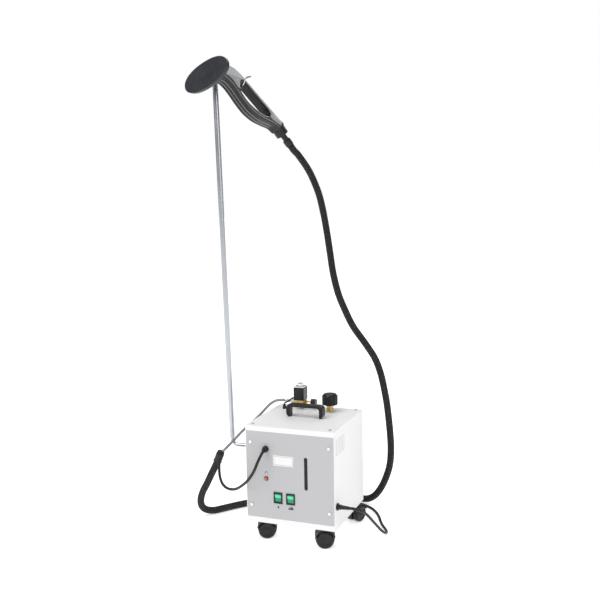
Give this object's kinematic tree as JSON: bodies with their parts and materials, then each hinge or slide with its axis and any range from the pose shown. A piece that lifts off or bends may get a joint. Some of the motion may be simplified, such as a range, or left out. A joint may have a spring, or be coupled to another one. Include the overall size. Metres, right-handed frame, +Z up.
{
  "type": "garment steamer",
  "caption": "Garment steamer: boiler cabinet on casters, side stand rod with a hook, and a steam brush hanging on its sleeved hose.",
  "frame": {"origin": "on the floor under the middle of the cabinet", "axes": "+Z up, the front panel faces -Y, the filler cap is on the +X side and the stand rod on the -X side"},
  "size_m": [0.5776, 0.4512, 1.3459],
  "materials": {
    "base_frame": "white powder coat",
    "cover": "white powder coat",
    "front_panel": "light grey satin powder coat",
    "rear_panel": "light grey satin powder coat",
    "panel_screws": "zinc plated",
    "cover_screws": "zinc plated",
    "boiler_tank": "welded stainless steel",
    "tank_saddles": "zinc coated sheet",
    "heating_element": "dull nickel alloy sheath",
    "pressure_switch": "black moulding",
    "level_gauge": "clear tube with brass ends",
    "sight_window": "black polycarbonate",
    "terminal_block": "ivory nylon",
    "filler_neck": "turned",
    "filler_cap": "black phenolic",
    "valve_riser": "nickel plated",
    "escutcheon": "white",
    "valve_body": "forged",
    "solenoid_coil": "black resin",
    "coil_yoke": "zinc plated",
    "regulating_knob": "black phenolic on a brass stem",
    "outlet_fitting": "nickel plated",
    "coil_lead": "black sheath",
    "carry_handle": "black moulding",
    "cable_glands": "black nylon",
    "pilot_lamp": "red lens",
    "switch_frames": "black moulding",
    "left_rocker": "translucent green",
    "right_rocker": "translucent green",
    "name_plate": "white vinyl",
    "stand_socket": "black nylon",
    "stand_arm": "chromed",
    "stand_rod": "chromed",
    "stand_hook": "bright wire",
    "steam_plate": "dark heat resistant resin",
    "head_shell": "black",
    "near_handle_shell": "dark grey",
    "far_handle_shell": "dark grey",
    "handle_screws": "zinc plated",
    "trigger": "black",
    "microswitch": "ivory",
    "steam_pipe": "copper",
    "rear_collar": "black",
    "hose_clamp": "black",
    "caster_plates": "zinc plated",
    "front_left_hood": "black nylon",
    "front_left_wheels": "black nylon",
    "front_right_hood": "black nylon",
    "front_right_wheels": "black nylon",
    "rear_left_hood": "black nylon",
    "rear_left_wheels": "black nylon",
    "rear_right_hood": "black nylon",
    "rear_right_wheels": "black nylon",
    "steam_hose": "steel braid",
    "control_cord": "black sheath",
    "sleeve_hose": "black textile braid",
    "mains_lead": "black sheath",
    "mains_coil": "black sheath",
    "plug_tail": "black sheath",
    "mains_plug": "black moulding with plated pins"
  },
  "bodies": {
    "cabinet": {"base_frame": "base_frame", "cover": "cover", "front_panel": "front_panel", "rear_panel": "rear_panel", "panel_screws": "panel_screws", "cover_screws": "cover_screws", "boiler_tank": "boiler_tank", "tank_saddles": "tank_saddles", "heating_element": "heating_element", "pressure_switch": "pressure_switch", "level_gauge": "level_gauge", "sight_window": "sight_window", "terminal_block": "terminal_block", "filler_neck": "filler_neck", "valve_riser": "valve_riser", "escutcheon": "escutcheon", "valve_body": "valve_body", "solenoid_coil": "solenoid_coil", "coil_yoke": "coil_yoke", "outlet_fitting": "outlet_fitting", "coil_lead": "coil_lead", "carry_handle": "carry_handle", "cable_glands": "cable_glands", "pilot_lamp": "pilot_lamp", "switch_frames": "switch_frames", "name_plate": "name_plate", "stand_socket": "stand_socket", "stand_arm": "stand_arm", "stand_rod": "stand_rod", "stand_hook": "stand_hook", "caster_plates": "caster_plates", "steam_hose": "steam_hose", "control_cord": "control_cord", "sleeve_hose": "sleeve_hose", "mains_lead": "mains_lead", "mains_coil": "mains_coil", "plug_tail": "plug_tail", "mains_plug": "mains_plug"},
    "handpiece": {"steam_plate": "steam_plate", "head_shell": "head_shell", "near_handle_shell": "near_handle_shell", "far_handle_shell": "far_handle_shell", "handle_screws": "handle_screws", "microswitch": "microswitch", "steam_pipe": "steam_pipe", "rear_collar": "rear_collar", "hose_clamp": "hose_clamp"},
    "trigger": {"trigger": "trigger"},
    "filler_cap": {"filler_cap": "filler_cap"},
    "regulating_knob": {"regulating_knob": "regulating_knob"},
    "left_rocker": {"left_rocker": "left_rocker"},
    "right_rocker": {"right_rocker": "right_rocker"},
    "front_left_swivel": {"front_left_hood": "front_left_hood"},
    "front_left_wheels": {"front_left_wheels": "front_left_wheels"},
    "front_right_swivel": {"front_right_hood": "front_right_hood"},
    "front_right_wheels": {"front_right_wheels": "front_right_wheels"},
    "rear_left_swivel": {"rear_left_hood": "rear_left_hood"},
    "rear_left_wheels": {"rear_left_wheels": "rear_left_wheels"},
    "rear_right_swivel": {"rear_right_hood": "rear_right_hood"},
    "rear_right_wheels": {"rear_right_wheels": "rear_right_wheels"}
  },
  "joints": [
    {"name": "front_left_swivel", "type": "hinge", "parent": "cabinet", "child": "front_left_swivel", "pos_m": [-0.106, -0.092, 0.051], "axis": [0, 0, 1], "continuous": true},
    {"name": "front_left_roll", "type": "hinge", "parent": "front_left_swivel", "child": "front_left_wheels", "pos_m": [-0.08925, -0.0854, 0.025], "axis": [-0.3665, 0.9304, 0], "continuous": true},
    {"name": "front_right_swivel", "type": "hinge", "parent": "cabinet", "child": "front_right_swivel", "pos_m": [0.106, -0.092, 0.051], "axis": [0, 0, 1], "continuous": true},
    {"name": "front_right_roll", "type": "hinge", "parent": "front_right_swivel", "child": "front_right_wheels", "pos_m": [0.08925, -0.0986, 0.025], "axis": [0.3665, -0.9304, 0], "continuous": true},
    {"name": "rear_left_swivel", "type": "hinge", "parent": "cabinet", "child": "rear_left_swivel", "pos_m": [-0.106, 0.092, 0.051], "axis": [0, 0, 1], "continuous": true},
    {"name": "rear_left_roll", "type": "hinge", "parent": "rear_left_swivel", "child": "rear_left_wheels", "pos_m": [-0.11216, 0.07509, 0.025], "axis": [0.9397, -0.342, 0], "continuous": true},
    {"name": "rear_right_swivel", "type": "hinge", "parent": "cabinet", "child": "rear_right_swivel", "pos_m": [0.106, 0.092, 0.051], "axis": [0, 0, 1], "continuous": true},
    {"name": "rear_right_roll", "type": "hinge", "parent": "rear_right_swivel", "child": "rear_right_wheels", "pos_m": [0.11126, 0.10921, 0.025], "axis": [-0.9563, 0.2924, 0], "continuous": true},
    {"name": "left_rocker_press", "type": "hinge", "parent": "cabinet", "child": "left_rocker", "pos_m": [-0.035, -0.127, 0.1343], "axis": [1, 0, 0], "range_deg": [-18, 0]},
    {"name": "right_rocker_press", "type": "hinge", "parent": "cabinet", "child": "right_rocker", "pos_m": [0.002, -0.127, 0.1343], "axis": [1, 0, 0], "range_deg": [-18, 0]},
    {"name": "filler_cap_lift", "type": "slide", "parent": "cabinet", "child": "filler_cap", "axis": [0, 0, 1], "range_m": [0, 0.034]},
    {"name": "knob_turn", "type": "hinge", "parent": "cabinet", "child": "regulating_knob", "pos_m": [-0.026, 0.08, 0.357], "axis": [1, 0, 0], "range_deg": [0, 270]},
    {"name": "handpiece_lift", "type": "slide", "parent": "cabinet", "child": "handpiece", "axis": [-0.2887, 0.2596, 0.9216], "range_m": [0, 0.025]},
    {"name": "trigger_squeeze", "type": "hinge", "parent": "handpiece", "child": "trigger", "pos_m": [-0.19934, 0.07623, 1.21978], "axis": [0.9134, -0.2139, 0.3464], "range_deg": [-6, 0], "stiffness_Nm_per_rad": 0.6, "springref_deg": 3.44}
  ]
}
